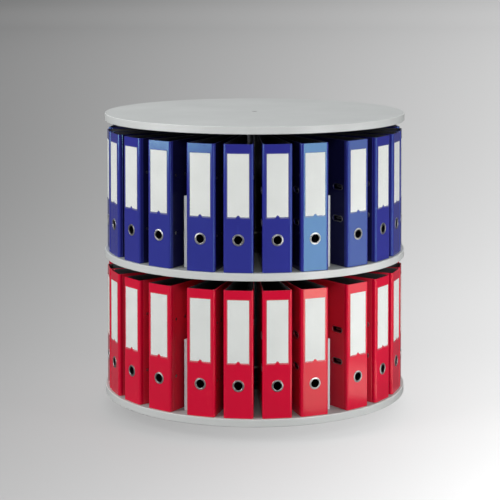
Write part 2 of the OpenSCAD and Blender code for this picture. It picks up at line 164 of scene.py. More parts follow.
def soften(bm, width, segments=2, angle=50):
    bmesh.ops.bevel(bm, geom=rim_edges(bm, angle), offset=width, offset_type="OFFSET", affect="EDGES",
                    segments=segments, profile=0.5, material=-1, clamp_overlap=True)


def raised(bm, faces, rise):
    """Extrudes faces upwards and gives back what was made."""
    made = bmesh.ops.extrude_face_region(bm, geom=faces)["geom"]
    verts = [v for v in made if isinstance(v, bmesh.types.BMVert)]
    bmesh.ops.translate(bm, vec=(0, 0, rise), verts=verts)
    return made


def plate(outer, thickness, holes=(), edge=0.0, segments=2):
    """A flat plate standing on z = 0, with holes right through and softened rims."""
    bm = bmesh.new()
    edges = add_loop(bm, outer)
    for hole in holes:
        edges += add_loop(bm, hole)
    if holes:
        bmesh.ops.triangle_fill(bm, use_beauty=True, edges=edges)
    else:
        bmesh.ops.contextual_create(bm, geom=edges)
    raised(bm, bm.faces[:], thickness)
    bmesh.ops.recalc_face_normals(bm, faces=bm.faces[:])
    if edge:
        soften(bm, edge, segments)
    return bm


def lathe(profile, steps=48, closed=False):
    """A solid turned about Z from (radius, height) points. A closed profile makes a ring."""
    bm = bmesh.new()
    verts = [bm.verts.new((r, 0, z)) for r, z in profile]
    edges = [bm.edges.new(pair) for pair in zip(verts, verts[1:])]
    if closed:
        edges.append(bm.edges.new((verts[-1], verts[0])))
    bmesh.ops.spin(bm, geom=verts + edges, cent=(0, 0, 0), axis=(0, 0, 1), angle=2 * pi, steps=steps,
                   use_merge=True, use_duplicate=False)
    bmesh.ops.remove_doubles(bm, verts=bm.verts[:], dist=1e-7)
    bmesh.ops.recalc_face_normals(bm, faces=bm.faces[:])
    return bm


def placed(bm, matrix):
    """The bmesh moved by matrix, right side out even if the matrix mirrors it."""
    bmesh.ops.transform(bm, matrix=matrix, verts=bm.verts[:])
    if matrix.determinant() < 0:
        bmesh.ops.reverse_faces(bm, faces=bm.faces[:])
    return bm


def joined(*parts):
    """One bmesh of several."""
    whole = bmesh.new()
    for part in parts:
        mesh = bpy.data.meshes.new("part")
        part.to_mesh(mesh)
        part.free()
        whole.from_mesh(mesh)
        bpy.data.meshes.remove(mesh)
    return whole


def copies(pattern, matrices):
    """One bmesh that holds the pattern mesh at each matrix."""
    whole = bmesh.new()
    for matrix in matrices:
        mesh = pattern.copy()
        mesh.transform(matrix)
        whole.from_mesh(mesh)
        bpy.data.meshes.remove(mesh)
    return whole


def pattern_mesh(name, bm):
    """The bmesh as a mesh, to be copied or cut."""
    mesh = bpy.data.meshes.new(name)
    bm.to_mesh(mesh)
    bm.free()
    return mesh


def with_cuts(mesh, cutters):
    """The mesh with the solids in cutters cut out of it."""
    body = bpy.data.objects.new("uncut", mesh)
    tool = bpy.data.objects.new("cutter", pattern_mesh("cutter", cutters))
    for thing in (body, tool):
        scene.collection.objects.link(thing)
    cutting = body.modifiers.new("cuts", "BOOLEAN")
    cutting.operation = "DIFFERENCE"
    cutting.solver = "EXACT"
    cutting.object = tool
    shown = bpy.context.evaluated_depsgraph_get()
    made = bpy.data.meshes.new_from_object(body.evaluated_get(shown))
    for thing in (body, tool):
        bpy.data.objects.remove(thing)
    return made


def piece(name, source, body, materials, replaced=(), sharp=35):
    """Makes a finished piece of the object from a bmesh or a mesh."""
    mesh = source if isinstance(source, bpy.types.Mesh) else pattern_mesh(name, source)
    mesh.name = name
    for material in materials if isinstance(materials, (list, tuple)) else [materials]:
        mesh.materials.append(material)
    mesh.polygons.foreach_set("use_smooth", [True] * len(mesh.polygons))
    mesh.set_sharp_from_angle(angle=radians(sharp))
    thing = bpy.data.objects.new(name, mesh)
    scene.collection.objects.link(thing)
    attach(thing, body)
    if replaced:
        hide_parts(*replaced)
    return thing


# ---------- materials ----------

class Finish:
    """A material on one Principled shader, with patterns on Object coordinates."""

    def __init__(self, name, colour, roughness, metallic=0.0, **sockets):
        self.material = bpy.data.materials.new(name)
        self.material.use_nodes = True
        self.tree = self.material.node_tree
        self.shader = self.tree.nodes["Principled BSDF"]
        self.colour = (*colour, 1.0)
        self.shader.inputs["Base Color"].default_value = self.colour
        self.shader.inputs["Roughness"].default_value = roughness
        self.shader.inputs["Metallic"].default_value = metallic
        for socket, value in sockets.items():
            self.shader.inputs[socket.replace("_", " ")].default_value = value
        self.place = self.tree.nodes.new("ShaderNodeTexCoord").outputs["Object"]

    def node(self, kind, **inputs):
        made = self.tree.nodes.new(kind)
        for socket, value in inputs.items():
            target = made.inputs[socket.replace("_", " ")]
            if isinstance(value, bpy.types.NodeSocket):
                self.tree.links.new(value, target)
            else:
                target.default_value = value
        return made

    def link(self, output, socket):
        self.tree.links.new(output, self.shader.inputs[socket])

    def stretched(self, scale, rotation=(0, 0, 0)):
        mapping = self.node("ShaderNodeMapping", Vector=self.place)
        mapping.inputs["Scale"].default_value = scale
        mapping.inputs["Rotation"].default_value = rotation
        return mapping.outputs["Vector"]

    def noise(self, scale, detail=3.0, roughness=0.55, place=None):
        made = self.node("ShaderNodeTexNoise", Vector=place or self.place, Scale=scale, Detail=detail,
                         Roughness=roughness)
        return made.outputs["Fac"]

    def cells(self, scale):
        return self.node("ShaderNodeTexVoronoi", Vector=self.place, Scale=scale).outputs["Distance"]

    def ranged(self, value, low, high, from_low=0.0, from_high=1.0):
        made = self.node("ShaderNodeMapRange", Value=value)
        limits = {"From Min": from_low, "From Max": from_high, "To Min": low, "To Max": high}
        for socket, number in limits.items():
            made.inputs[socket].default_value = number
        return made.outputs["Result"]

    def mixed(self, factor, first, second):
        made = self.tree.nodes.new("ShaderNodeMix")
        made.data_type = "RGBA"
        for socket, value in ((0, factor), (6, first), (7, second)):
            if isinstance(value, bpy.types.NodeSocket):
                self.tree.links.new(value, made.inputs[socket])
            else:
                made.inputs[socket].default_value = value
        return made.outputs[2]

    def darker(self, strength):
        return tuple(c * (1 - strength) for c in self.colour[:3]) + (1.0,)

    def shade(self, factor, strength):
        """The base colour drifting towards a darker one."""
        self.link(self.mixed(factor, self.colour, self.darker(strength)), "Base Color")

    def rough(self, factor, low, high):
        self.link(self.ranged(factor, low, high), "Roughness")

    def bumps(self, *layers):
        """Each layer is (height, strength, distance in metres)."""
        normal = None
        for height, strength, distance in layers:
            made = self.node("ShaderNodeBump", Height=height, Strength=strength, Distance=distance)
            if normal:
                self.tree.links.new(normal, made.inputs["Normal"])
            normal = made.outputs["Normal"]
        self.link(normal, "Normal")


def melamine(name, colour):
    """Chipboard facing: satin, with a fine pearl texture and a faint cloudiness."""
    made = Finish(name, colour, 0.42)
    cloud = made.noise(5, 2)
    speck = made.noise(900, 2)
    both = made.node("ShaderNodeMath", Value=cloud)
    both.operation = "MULTIPLY"
    made.tree.links.new(speck, both.inputs[1])
    made.shade(made.ranged(both.outputs[0], 0, 1, 0.12, 0.4), 0.10)
    made.rough(cloud, 0.36, 0.50)
    made.bumps((made.cells(1500), 0.10, 0.15 * MM), (speck, 0.10, 0.1 * MM))
    return made.material


def edge_plastic(name, colour):
    """ABS edge band: a little lighter and smoother than the board, with faint milling marks."""
    made = Finish(name, colour, 0.34)
    marks = made.noise(60, 2, place=made.stretched((1, 1, 40)))
    made.shade(made.ranged(marks, 0, 1, 0.4, 0.8), 0.06)
    made.rough(made.noise(40, 3), 0.28, 0.42)
    made.bumps((marks, 0.08, 0.1 * MM), (made.noise(1200, 2), 0.08, 0.1 * MM))
    return made.material


def cover_foil(name, colour, scuffed, shine):
    """Polypropylene foil on grey board: a fine pressed grain, soft waves and a few dull scuffs."""
    made = Finish(name, colour, 0.18, Specular_IOR_Level=0.6, Specular_Tint=(*shine, 1))
    waves = made.noise(9, 2)
    grain = made.cells(1250)
    linen = made.noise(700, 2)
    scuff = made.noise(34, 5, 0.7, place=made.stretched((1, 1, 0.35)))
    marks = made.ranged(scuff, 0, 1, 0.62, 0.78)
    tone = made.mixed(made.ranged(waves, 0, 0.35, 0.3, 0.75), made.colour, made.darker(0.2))
    made.link(made.mixed(made.ranged(marks, 0, 0.30), tone, (*scuffed, 1)), "Base Color")
    made.rough(made.ranged(scuff, 0, 1, 0.35, 0.8), 0.13, 0.22)
    made.bumps((waves, 0.06, 2 * MM), (grain, 0.07, 0.12 * MM), (linen, 0.06, 0.12 * MM))
    return made.material


def bright_metal(name, colour, roughness, scratches=0.08):
    """Plated sheet metal with fine, mostly upright polishing lines."""
    made = Finish(name, colour, roughness, 1.0)
    lines = made.noise(500, 3, place=made.stretched((1, 1, 0.06)))
    made.shade(made.ranged(made.noise(30, 4), 0, 1, 0.35, 0.75), 0.14)
    made.rough(lines, max(roughness - 0.07, 0.04), roughness + 0.10)
    made.bumps((lines, scratches, 0.05 * MM))
    return made.material


def turned_metal(name, colour, roughness):
    """Metal from a lathe: fine rings about the column's axis."""
    made = Finish(name, colour, roughness, 1.0)
    across = made.node("ShaderNodeVectorMath")
    across.operation = "LENGTH"
    flat = made.node("ShaderNodeVectorMath", Vector=made.place)
    flat.operation = "MULTIPLY"
    flat.inputs[1].default_value = (1, 1, 0)
    made.tree.links.new(flat.outputs["Vector"], across.inputs[0])
    radius = made.node("ShaderNodeCombineXYZ", X=across.outputs["Value"])
    rings = made.noise(2500, 2, place=radius.outputs["Vector"])
    made.shade(made.ranged(made.noise(40, 4), 0, 1, 0.4, 0.8), 0.2)
    made.rough(rings, roughness - 0.08, roughness + 0.12)
    made.bumps((rings, 0.15, 0.05 * MM))
    return made.material


def powder_coat(name, colour):
    """Baked powder paint with a slight orange peel."""
    made = Finish(name, colour, 0.5)
    peel = made.noise(420, 2)
    made.shade(made.noise(12, 3), 0.25)
    made.rough(peel, 0.42, 0.6)
    made.bumps((peel, 0.3, 0.15 * MM))
    return made.material


def moulded(name, colour, roughness, grain=0.15):
    """Moulded plastic or rubber with a fine grain."""
    made = Finish(name, colour, roughness)
    fine = made.noise(900, 3)
    made.shade(made.noise(25, 3), 0.18)
    made.rough(fine, roughness - 0.06, roughness + 0.08)
    made.bumps((fine, grain, 0.1 * MM))
    return made.material


def card(name, colour):
    """Uncoated card with faint fibres and a slightly uneven tone."""
    made = Finish(name, colour, 0.75)
    fibres = made.noise(1400, 3, place=made.stretched((1, 1, 0.25)))
    made.shade(made.ranged(made.noise(16, 3), 0, 1, 0.35, 0.7), 0.06)
    made.rough(fibres, 0.68, 0.85)
    made.bumps((fibres, 0.2, 0.06 * MM))
    return made.material


def clear_film(name):
    """The label pocket's clear film, slightly uneven."""
    made = Finish(name, (0.96, 0.97, 0.98), 0.14, Alpha=0.10, Specular_IOR_Level=0.2)
    made.rough(made.noise(60, 2), 0.10, 0.22)
    made.bumps((made.noise(14, 2), 0.12, 1 * MM))
    return made.material


BLUE_SHINE = (0.42, 0.95, 1.0)
RED_SHINE = (1.0, 0.62, 0.48)
FOIL = {
    "blue": cover_foil("blue_polypropylene_foil", (0.028, 0.028, 0.255), (0.05, 0.07, 0.36), BLUE_SHINE),
    "red": cover_foil("red_polypropylene_foil", (0.62, 0.002, 0.034), (0.78, 0.05, 0.07), RED_SHINE),
}
# Foil of the covers' outer sides behind the creases: painted side shading, the blue far darker than its
# spine, the red a touch paler
SIDE_SHADING_FOIL = {
    "blue": cover_foil("blue_foil_painted_side_shading", (0.010, 0.010, 0.060), (0.03, 0.04, 0.12), (0.30, 0.35, 0.60)),
    "red": cover_foil("red_foil_painted_side_shading", (0.66, 0.022, 0.050), (0.70, 0.06, 0.08), RED_SHINE),
}
# Inside faces of the covers: near-black card, painted shade standing for the dark between the files
SHADE_LINING = card("painted_shade_lining_paper", (0.085, 0.085, 0.092))
CARD = card("label_card", (0.70, 0.72, 0.69))
FILM = clear_film("label_pocket_film")
NICKEL = bright_metal("nickel_plate", (0.45, 0.45, 0.445), 0.30)
CLAMP_PLASTIC = moulded("black_clamp_plastic", (0.02, 0.02, 0.022), 0.38)
MELAMINE = melamine("light_grey_melamine", (0.39, 0.408, 0.402))
DIVIDER = melamine("divider_melamine", (0.56, 0.58, 0.60))
BAND = edge_plastic("light_grey_edge_band", (0.57, 0.585, 0.575))

BY_SLOT = {
    "melamine_board": MELAMINE,
    "divider_board": DIVIDER,
    "edge_band": BAND,
    "painted_steel": powder_coat("dark_powder_coat", (0.045, 0.047, 0.05)),
    "column_chrome": bright_metal("black_chrome_tube", (0.11, 0.11, 0.12), 0.2, 0.03),
    "zinc_steel": bright_metal("zinc_plated_steel", (0.62, 0.63, 0.64), 0.34),
    "dark_screw": powder_coat("blackened_screw", (0.075, 0.075, 0.08)),
    "bearing_steel": turned_metal("turned_bearing_steel", (0.55, 0.56, 0.57), 0.30),
    "ball_steel": bright_metal("polished_ball", (0.80, 0.80, 0.81), 0.11, 0.02),
    "cage_brass": bright_metal("stamped_brass", (0.72, 0.50, 0.20), 0.30),
    "bush_plastic": moulded("natural_acetal", (0.72, 0.70, 0.62), 0.35),
    "rubber_pad": moulded("black_rubber", (0.018, 0.018, 0.018), 0.80, 0.4),
    "blue_file_cover": FOIL["blue"],
    "red_file_cover": FOIL["red"],
    "label_card": CARD,
    "nickel_steel": NICKEL,
}
for part in frame["record"]["subparts"]:
    mesh = frame["nodes"][part["node"]].data
    mesh.materials.clear()
    mesh.materials.append(BY_SLOT[part["material_slot"]])


# ---------- boards ----------

def board(name, node, body, z, hole_r, sink_r=0.0):
    """A round chipboard disc, its rim just broken, its hole countersunk out to sink_r."""
    r = RIM_R - BAND_T - SEAM
    brk = 0.3 * MM
    profile = [(hole_r, z), (r - brk, z), (r, z + brk), (r, z + BOARD_T - brk), (r - brk, z + BOARD_T)]
    if sink_r:
        profile += [(sink_r, z + BOARD_T), (hole_r, z + BOARD_T - sink_r + hole_r)]
    else:
        profile += [(hole_r, z + BOARD_T)]
    return piece(name, lathe(profile, 192, closed=True), body, MELAMINE, [node])


def band(name, node, body, z):
    """The edge band: a strip bent round the disc, its two outer corners rounded."""
    inner = RIM_R - BAND_T
    flat = BAND_ROUND + 0.4 * MM
    profile = ([(inner, z)] + arc(RIM_R - BAND_ROUND, z + BAND_ROUND, BAND_ROUND, -90, 0, 5)
               + [(RIM_R, z + flat), (RIM_R, z + BOARD_T - flat)]
               + arc(RIM_R - BAND_ROUND, z + BOARD_T - BAND_ROUND, BAND_ROUND, 0, 90, 5)
               + [(inner, z + BOARD_T)])
    return piece(name, lathe(profile, 256, closed=True), body, BAND, [node])


board("top_board_disc", "top_board", "stand", top_low.z, 4.1 * MM, 7.3 * MM)
band("top_board_band", "top_edge_band", "stand", top_low.z)
for colour in COLOURS:
    name, z = SHELF[colour], DECK[colour] - BOARD_T
    board(f"{name}_shelf_disc", f"{name}_shelf", TIER[colour], z, HUB_HOLE_R)
    band(f"{name}_shelf_band", f"{name}_edge_band", TIER[colour], z)


def centre_screw():
    """Countersunk head with a cross recess, level with the top board."""
    head_r, shank_r, cone = 7 * MM, 4 * MM, 4 * MM
    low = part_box("centre_screw")[0].z
    profile = [(0, low), (shank_r, low), (shank_r, top_high.z - cone), (head_r, top_high.z - 0.3 * MM),
               (head_r - 0.4 * MM, top_high.z), (0, top_high.z)]
    reach, half = 3.75 * MM, 0.8 * MM
    cross = []
    for quarter in range(4):
        for x, y in ((reach, -half), (reach, half), (half, half)):
            cross.append(tuple((turned(90 * quarter) @ Vector((x, y, 0))).xy))
    recess = placed(plate(cross, 6 * MM), moved(0, 0, top_high.z - 2.2 * MM))
    body = with_cuts(pattern_mesh("screw", lathe(profile, 48)), recess)
    piece("centre_screw_head", body, "stand", BY_SLOT["dark_screw"], ["centre_screw"])


centre_screw()


# ---------- dividers ----------

def divider_pattern():
    """An upright board between two bays, standing on z = 0 along -Y."""
    low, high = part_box("lower_dividers")
    outer, inner = RIM_R - DIVIDER_OUTER_INSET, FORE_EDGE_R + DIVIDER_INNER_INSET
    outline = rounded_rectangle(inner, 0, outer, high.z - low.z, 1.2 * MM, 3)
    upright = placed(plate(outline, DIVIDER_T, edge=0.9 * MM, segments=3), Matrix.Rotation(pi / 2, 4, "X"))
    return pattern_mesh("divider", placed(upright, turned(-90) @ moved(0, DIVIDER_T / 2, 0)))


divider = divider_pattern()
divider_angles = [(bay + 0.5) * BAY_ANGLE + BAY_MIDDLE for bay in range(BAYS)]
for colour, level in (("red", "lower"), ("blue", "upper")):
    spots = [moved(0, 0, DECK[colour]) @ turned(angle) for angle in divider_angles]
    piece(f"{level}_divider_boards", copies(divider, spots), TIER[colour], DIVIDER,
          [f"{level}_dividers"], sharp=12)


# ---------- one file, standing on z = 0 with its spine at SPINE_Y ----------

FRONT_COVER = moved(-SPINE_W / 2, SPINE_Y + COVER_START, 0) @ Matrix.Rotation(-TAPER, 4, "Z")
BACK_COVER = Matrix.Scale(-1, 4, (1, 0, 0)) @ FRONT_COVER
# Onto a cover: a plate's x, y and z become depth, height and inwards
ONTO_COVER = Matrix(((0, 0, 1, 0), (1, 0, 0, 0), (0, 1, 0, 0), (0, 0, 0, 1)))
# Onto the spine: a plate's z points outwards
ONTO_SPINE = moved(0, SPINE_Y, 0) @ Matrix.Rotation(pi / 2, 4, "X")


def case_outline():
    """Plan of the wrapped cover: spine, rounded shoulders with a crease behind them, two sloping covers."""
    along = Vector((-sin(TAPER), cos(TAPER)))
    out = Vector((cos(TAPER), sin(TAPER)))
    start = Vector((SPINE_W / 2, SPINE_Y + COVER_START))
    cy = SPINE_Y + SPINE_ROUND
    cx = SPINE_W / 2 - (SPINE_ROUND - (start.y - cy) * sin(TAPER)) / cos(TAPER)
    cover = (FILE_DEPTH - COVER_START) / cos(TAPER)
    crease = [(4.6, 0), (5.8, 0), (6.8, 0.9), (7.6, 1.1), (8.4, 0.9), (9.4, 0), (10.4, 0)]

    def side(inset, r):
        bend = arc(cx, cy, r, -90, TAPER * 180 / pi, 7)
        dents = [start + along * s * MM - out * (depth * MM + inset) for s, depth in crease]
        flat = [(0, SPINE_Y + inset), (cx - 0.5 * MM, SPINE_Y + inset)]
        return flat + bend + [tuple(p) for p in dents] + [tuple(start + along * cover - out * inset)]

    outer, inner = side(0, SPINE_ROUND), side(COVER_T, SPINE_ROUND - COVER_T)
    left_outer = [(-x, y) for x, y in reversed(outer[1:])]
    left_inner = [(-x, y) for x, y in inner[1:]]
    return left_outer + outer + list(reversed(inner)) + left_inner


def case_pattern():
    """The cover with its finger hole and the two slots that the arches come through.

    Its faces wear foil on the spine (0), near-black painted shade inside (1) and foil recoloured as painted
    side shading behind the creases (2).
    """
    bm = plate(case_outline(), FILE_H, edge=0.55 * MM, segments=2)
    finger = plate(circle(FINGER_R + 1.45 * MM, 40, 0, FINGER_Z), 20 * MM)
    cutters = [placed(finger, ONTO_SPINE @ moved(0, 0, -10 * MM))]
    for side in (-1, 1):
        slot = plate(slot_outline(ARCH_Y, FILE_H / 2 + side * ARCH_GAP / 2, SLOT_LEN, SLOT_W), 12 * MM)
        cutters.append(placed(slot, FRONT_COVER @ ONTO_COVER @ moved(0, 0, -6 * MM)))
    mesh = with_cuts(pattern_mesh("case", bm), joined(*cutters))
    inside_y = SPINE_Y + COVER_T
    for face in mesh.polygons:
        # Inside faces and the back of the spine take index 1, the painted shade lining
        facing_in = face.normal.x * face.center.x < 0 and abs(face.normal.x) > 0.8
        back_of_spine = face.normal.y > 0.9 and abs(face.center.y - inside_y) < 0.3 * MM
        facing_out = face.normal.x * face.center.x > 0 and abs(face.normal.x) > 0.8
        # Outer faces behind the creases take index 2, the foil recoloured as painted side shading
        behind_crease = facing_out and face.center.y > SPINE_Y + 12 * MM
        face.material_index = 2 if behind_crease else int(facing_in or back_of_spine)
    return mesh


def card_pattern():
    """Label card with a thumb notch at its foot."""
    half, notch = LABEL_W / 2 - CARD_INSET, 4.4 * MM
    outline = ([(-half, LABEL_LOW), (-half, LABEL_HIGH), (half, LABEL_HIGH), (half, LABEL_LOW)]
               + arc(0, LABEL_LOW, notch, 0, 180, 12))
    return pattern_mesh("card", placed(plate(outline, 0.35 * MM), ONTO_SPINE @ moved(0, 0, 0.03 * MM)))


def pocket_pattern():
    """The clear pocket that holds the card, with its welded edge a little raised."""
    half = LABEL_W / 2
    low, high = LABEL_LOW - 4 * MM, LABEL_HIGH + 1.6 * MM
    weld = 1.4 * MM
    notch = 6.2 * MM
    sheet = ([(-half, low), (-half, high), (half, high), (half, low)] + arc(0, low, notch, 0, 180, 12))
    film = placed(plate(sheet, 0.12 * MM), ONTO_SPINE @ moved(0, 0, 0.45 * MM))
    window = rounded_rectangle(-half + weld, low + weld, half - weld, high - weld, 0.6 * MM, 3)
    rim = plate(rounded_rectangle(-half, low, half, high, 1 * MM, 3), 0.5 * MM, [window], edge=0.2 * MM)
    return pattern_mesh("film", film), pattern_mesh("weld", placed(rim, ONTO_SPINE @ moved(0, 0, 0.02 * MM)))


def finger_ring_pattern():
    """Pressed ring: a rolled front flange, a tube through the spine and a flat back flange."""
    r, out, tube = FINGER_R, FINGER_R + 4.5 * MM, FINGER_R + 1.3 * MM
    front = arc(r + 1.3 * MM, 0.05 * MM, 1.25 * MM, 180, 60, 6) + [(out - 0.7 * MM, 0.62 * MM)]
    front += arc(out - 0.6 * MM, 0.1 * MM, 0.55 * MM, 80, -10, 4)
    back = [(tube, 0.02 * MM), (tube, -COVER_T - 0.05 * MM), (out - 1 * MM, -COVER_T - 0.05 * MM),
            (out - 1 * MM, -COVER_T - 0.5 * MM), (r + 0.4 * MM, -COVER_T - 0.6 * MM), (r, -COVER_T)]
    ring = lathe(front + back, 40, closed=True)
    return pattern_mesh("ring", placed(ring, ONTO_SPINE @ moved(0, FINGER_Z, 0)))


def eyelet_pattern():
    """Pressed rims of the two slots."""
    rims = []
    for side in (-1, 1):
        z = FILE_H / 2 + side * ARCH_GAP / 2
        rim = plate(slot_outline(ARCH_Y, z, SLOT_LEN + 3.6 * MM, SLOT_W + 3.6 * MM, 12), 0.9 * MM,
                    [slot_outline(ARCH_Y, z, SLOT_LEN - 0.6 * MM, SLOT_W - 0.6 * MM, 12)], edge=0.3 * MM)
        rims.append(placed(rim, FRONT_COVER @ ONTO_COVER @ moved(0, 0, -0.5 * MM)))
    return pattern_mesh("eyelets", joined(*rims))


def rivet_pattern():
    """Domed rivets that hold the mechanism to the back cover."""
    back = COVER_T + PLATE_T
    profile = [(0, -0.6 * MM), (2.2 * MM, -0.52 * MM), (3.6 * MM, -0.25 * MM), (4 * MM, 0),
               (2 * MM, 0.01 * MM), (2 * MM, back), (3 * MM, back + 0.05 * MM),
               (2.4 * MM, back + 0.6 * MM), (0, back + 0.7 * MM)]
    rivets = []
    for z in (FILE_H / 2 - PLATE_H / 2 + RIVET_INSET, FILE_H / 2 + PLATE_H / 2 - RIVET_INSET):
        for y in (PLATE_Y + RIVET_INSET, PLATE_Y + PLATE_W - RIVET_INSET):
            rivets.append(placed(lathe(profile, 20), BACK_COVER @ ONTO_COVER @ moved(y, z, 0)))
    return pattern_mesh("rivets", joined(*rivets))


# The mechanism is drawn with x along the cover's depth, y up and z in from the cover's outer face
INNER_GAP = (SPINE_W - 2 * ARCH_Y * sin(TAPER)) * cos(TAPER) / cos(2 * TAPER)
ARCH_R = 22 * MM
ROD_R = 1.5 * MM
ARCH_FOOT = COVER_T + PLATE_T
ARCH_LEG = INNER_GAP - 2 * MM - ROD_R - ARCH_R - ARCH_FOOT


def rod(x, y, z0, z1, r, steps=14):
    """Upright pin with domed end."""
    dome = [(r * cos(a), z1 - r + r * sin(a)) for a in (0, 0.5, 1.0, 1.35)]
    return placed(lathe([(0, z0), (r, z0)] + dome + [(0, z1)], steps), moved(x, y, 0))


def arch(y):
    """A bent rod: up from the plate, over, and down to meet the post."""
    bm = bmesh.new()
    foot = bmesh.ops.create_circle(bm, cap_ends=True, segments=12, radius=ROD_R,
                                   matrix=moved(ARCH_Y - ARCH_R, y, ARCH_FOOT))
    face = foot["verts"][0].link_faces[0]
    leg = raised(bm, [face], ARCH_LEG)
    top = [f for f in leg if isinstance(f, bmesh.types.BMFace)]
    bmesh.ops.spin(bm, geom=top, cent=(ARCH_Y, y, ARCH_FOOT + ARCH_LEG), axis=(0, 1, 0), angle=pi, steps=14,
                   use_duplicate=False)
    bmesh.ops.recalc_face_normals(bm, faces=bm.faces[:])
    return bm


def mechanism_pattern():
    """Riveted plate with its ribs, two posts and arches, and the lever between its ears."""
    mid = FILE_H / 2
    low, high = mid - PLATE_H / 2, mid + PLATE_H / 2
    base = plate(rounded_rectangle(PLATE_Y, low, PLATE_Y + PLATE_W, high, 6 * MM), PLATE_T, edge=0.3 * MM)
    parts = [placed(base, moved(0, 0, COVER_T))]
    for x in (PLATE_Y + 17 * MM, PLATE_Y + PLATE_W - 17 * MM):
        rib = plate(slot_outline(0, 0, PLATE_H - 30 * MM, 4 * MM), 0.9 * MM, edge=0.4 * MM)
        parts.append(placed(rib, moved(x, mid, ARCH_FOOT - 0.05 * MM) @ turned(90)))
    for side in (-1, 1):
        y = mid + side * ARCH_GAP / 2
        parts.append(rod(ARCH_Y + ARCH_R, y, ARCH_FOOT, ARCH_FOOT + ARCH_LEG - 0.2 * MM, ROD_R))
        parts.append(arch(y))
    rise, width, long, thick = 14 * MM, 12 * MM, 105 * MM, 2 * MM
    for side in (-1, 1):
        ear = plate(rounded_rectangle(-6 * MM, 0, 6 * MM, rise + 4 * MM, 4 * MM), 1.6 * MM, edge=0.3 * MM)
        x = ARCH_Y + side * (width / 2 + 1 * MM) - 0.8 * MM
        parts.append(placed(ear, moved(x, mid, ARCH_FOOT) @ ONTO_COVER))
    pin = placed(lathe([(0, 0), (1.6 * MM, 0), (1.6 * MM, 19 * MM), (0, 19 * MM)], 16),
                 moved(ARCH_Y - 9.5 * MM, mid, ARCH_FOOT + rise + 1 * MM) @ Matrix.Rotation(pi / 2, 4, "Y"))
    parts.append(pin)
    lever = plate(rounded_rectangle(-width / 2, -long, width / 2, 6 * MM, 3 * MM), thick, edge=0.5 * MM)
    parts.append(placed(lever, moved(ARCH_Y, mid, ARCH_FOOT + rise)))
    grip = plate(circle(12 * MM, 36), thick, [circle(8 * MM, 36)], edge=0.7 * MM)
    parts.append(placed(grip, moved(ARCH_Y, mid - long - 10 * MM, ARCH_FOOT + rise)))
    return pattern_mesh("mechanism", placed(joined(*parts), BACK_COVER @ ONTO_COVER))


def clamp_pattern():
    """Sheet clamp: a black bar that slides on the two posts."""
    mid, half = FILE_H / 2, PLATE_H / 2
    x = ARCH_Y + ARCH_R
    holes = [circle(ROD_R + 0.3 * MM, 16, x, mid + side * ARCH_GAP / 2) for side in (-1, 1)]
    bar = plate(rounded_rectangle(x - 7 * MM, mid - half, x + 7 * MM, mid + half, 3 * MM), 3 * MM, holes,
                edge=0.8 * MM)
    return pattern_mesh("clamp", placed(bar, BACK_COVER @ ONTO_COVER @ moved(0, 0, ARCH_FOOT + 26 * MM)))


# ---------- all the files ----------

case = case_pattern()
label_card = card_pattern()
label_film, label_weld = pocket_pattern()
finger_ring = finger_ring_pattern()
eyelets = eyelet_pattern()
rivets = rivet_pattern()
mechanism = mechanism_pattern()
clamp = clamp_pattern()


def file_places(colour, bay):
    """Where the files of one bay stand, without the sliding one."""
    lift = moved(0, 0, DECK[colour] + FOOT_GAP)
    stray = STRAY.get(bay, (0,) * PLACES)
    return [lift @ turned(bay * BAY_ANGLE + (place - SLIDE_PLACE) * FILE_STEP + stray[place] * FILE_ROOM)
            for place in range(PLACES) if (bay, place) != (SLIDE_BAY, SLIDE_PLACE)]


def fit_out(prefix, colour, body, places, node):
    """Labels, pockets, rings and mechanisms of some files, in place of the CAD nodes named by node()."""
    piece(f"{prefix}_label_cards", copies(label_card, places), body, CARD, [node("label")])
    piece(f"{prefix}_pocket_film", copies(label_film, places), body, FILM)
    piece(f"{prefix}_pocket_welds", copies(label_weld, places), body, FOIL[colour], sharp=20)
    piece(f"{prefix}_finger_rings", copies(finger_ring, places), body, NICKEL,
          [node("fittings")])
    piece(f"{prefix}_slot_eyelets", copies(eyelets, places), body, NICKEL, sharp=20)
    piece(f"{prefix}_cover_rivets", copies(rivets, places), body, NICKEL)
    piece(f"{prefix}_mechanisms", copies(mechanism, places), body, NICKEL, [node("arch")])
    piece(f"{prefix}_sheet_clamps", copies(clamp, places), body, CLAMP_PLASTIC)


for colour in COLOURS:
    covers = [FOIL[colour], SHADE_LINING, SIDE_SHADING_FOIL[colour]]
    every_place = []
    for bay in range(BAYS):
        places = file_places(colour, bay)
        every_place += places
        piece(f"{colour}_cases_bay_{bay + 1}", copies(case, places), TIER[colour], covers,
              [f"{colour}_files_bay_{bay + 1}"], sharp=20)
    standing = {"label": f"{colour}_labels", "fittings": f"{colour}_fittings",
                "arch": f"{colour}_lever_arches"}
    fit_out(f"{colour}_files", colour, TIER[colour], every_place, standing.get)
    front = [moved(0, 0, DECK[colour] + FOOT_GAP)]
    piece(f"{colour}_front_case", copies(case, front), SLIDER[colour], covers,
          [f"{colour}_sliding_file"], sharp=20)
    sliding = {"label": f"{colour}_sliding_label", "fittings": f"{colour}_sliding_fittings",
               "arch": f"{colour}_sliding_lever_arch"}
    fit_out(f"{colour}_front", colour, SLIDER[colour], front, sliding.get)


# ---------- floor, lights and camera ----------

VIEW_TURN = -8.3  # where the camera stands, in degrees from -Y towards +X
CAMERA_DISTANCE = 4.556
CAMERA_HEIGHT = 1.218
CAMERA_PITCH = 2.44
LENS_LENGTH, SENSOR_W = 122.85, 36
SHIFT_X, SHIFT_Y = -0.0092, -0.4555

FLOOR_HALF = 120
MIDDLE_TONE = 0.602  # shown tone, as a share of white, straight ahead and far away
ACROSS_RISE = 0.870  # rise in tone per metre to the right, a metre from the camera
NEAR_RISE = 0.859    # rise in tone with the slope of the look down
TONE_TO_LIGHT = 2.2
LAMP_SHARE = 0.172   # what the lamps add to the paper by themselves
FAR_START, FAR_RISE = 0.0163, 7.4
NEAR_LAMP_SHARE = 0.5


